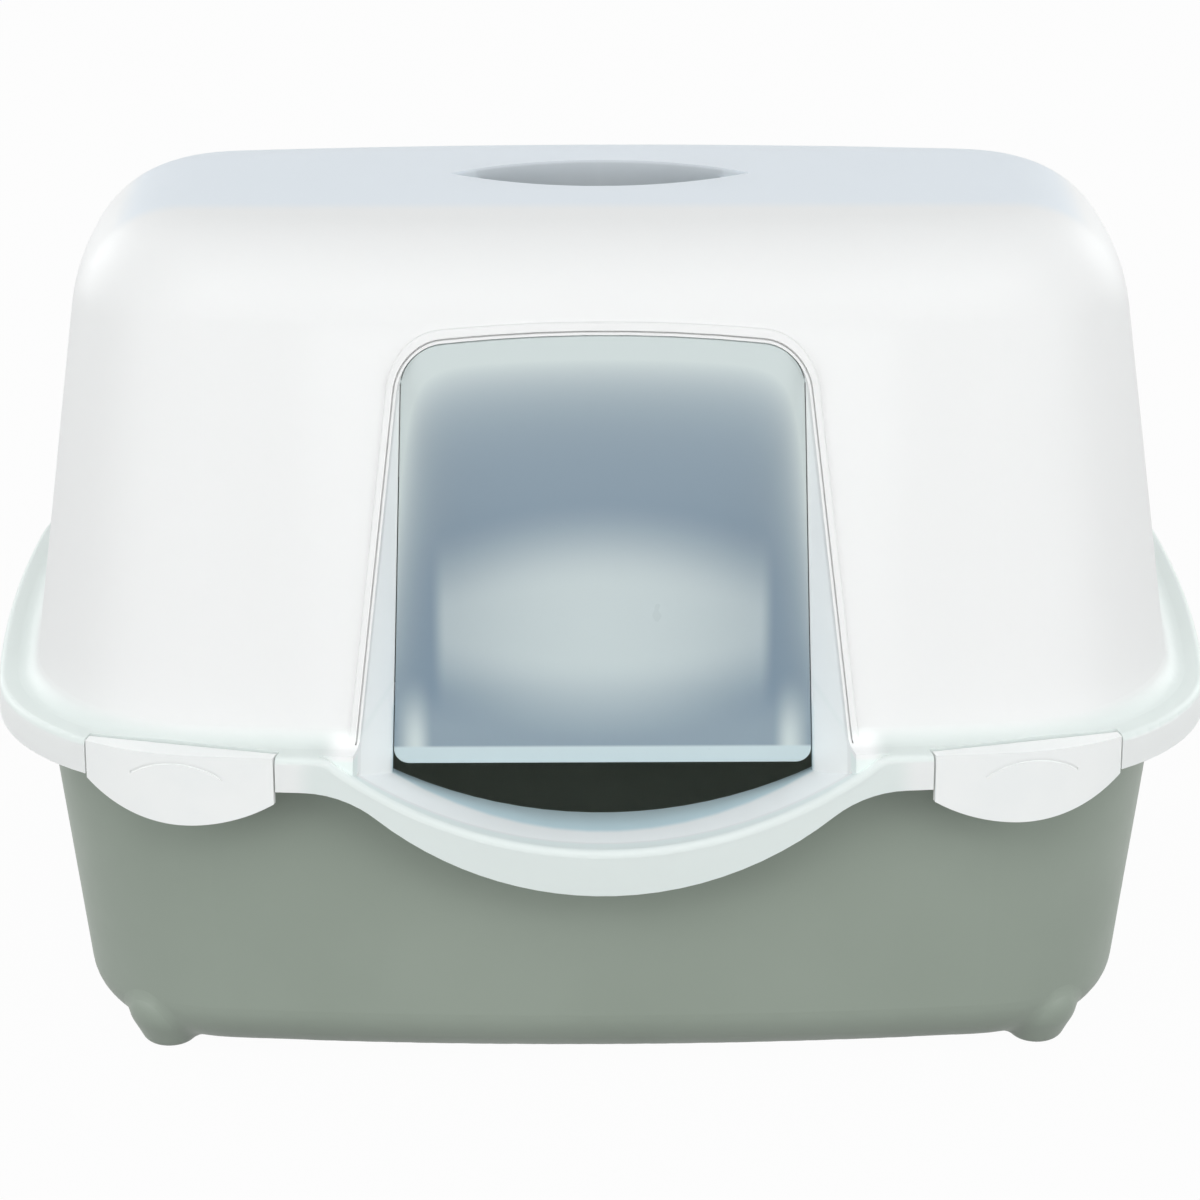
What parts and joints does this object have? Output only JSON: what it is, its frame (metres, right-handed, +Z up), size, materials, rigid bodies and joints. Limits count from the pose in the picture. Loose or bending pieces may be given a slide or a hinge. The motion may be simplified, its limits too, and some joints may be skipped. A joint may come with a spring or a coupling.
{
  "type": "covered litter box",
  "caption": "Hooded cat toilet: rounded pan on feet under a lift-off domed cover with a swinging frosted flap, a dipped sill, a roof grip slot and corner latches.",
  "frame": {"origin": "on the floor under the middle of the box", "axes": "X along the width, front towards -Y, Z up"},
  "size_m": [0.56, 0.4, 0.366],
  "materials": {
    "tray_green": "satin moulded polypropylene, sage grey-green",
    "hood_white": "satin moulded polypropylene, white",
    "flap_frosted": "frosted translucent plastic, pale blue-grey",
    "latch_white": "satin moulded polypropylene, white"
  },
  "bodies": {
    "pan_body": {"tray": "tray_green"},
    "cover_body": {"hood": "hood_white"},
    "flap_body": {"door_flap": "flap_frosted"},
    "latch_fl_body": {"latch_front_left": "latch_white"},
    "latch_fr_body": {"latch_front_right": "latch_white"},
    "latch_rl_body": {"latch_rear_left": "latch_white"},
    "latch_rr_body": {"latch_rear_right": "latch_white"}
  },
  "joints": [
    {"name": "hood_lift", "type": "slide", "parent": "pan_body", "child": "cover_body", "axis": [0, 0, 1], "range_m": [0, 0.3]},
    {"name": "door_swing", "type": "hinge", "parent": "cover_body", "child": "flap_body", "pos_m": [0, -0.11202, 0.308], "axis": [1, 0, 0], "range_deg": [-75, 75]},
    {"name": "latch_front_left_hinge", "type": "hinge", "parent": "cover_body", "child": "latch_fl_body", "pos_m": [-0.18569, -0.17875, 0.159], "axis": [-0.9692, 0.2464, 0], "range_deg": [-5, 90]},
    {"name": "latch_front_right_hinge", "type": "hinge", "parent": "cover_body", "child": "latch_fr_body", "pos_m": [0.18569, -0.17875, 0.159], "axis": [-0.9692, -0.2464, 0], "range_deg": [-5, 90]},
    {"name": "latch_rear_left_hinge", "type": "hinge", "parent": "cover_body", "child": "latch_rl_body", "pos_m": [-0.18569, 0.17875, 0.159], "axis": [0.9692, 0.2464, 0], "range_deg": [-5, 90]},
    {"name": "latch_rear_right_hinge", "type": "hinge", "parent": "cover_body", "child": "latch_rr_body", "pos_m": [0.18569, 0.17875, 0.159], "axis": [0.9692, -0.2464, 0], "range_deg": [-5, 90]}
  ]
}
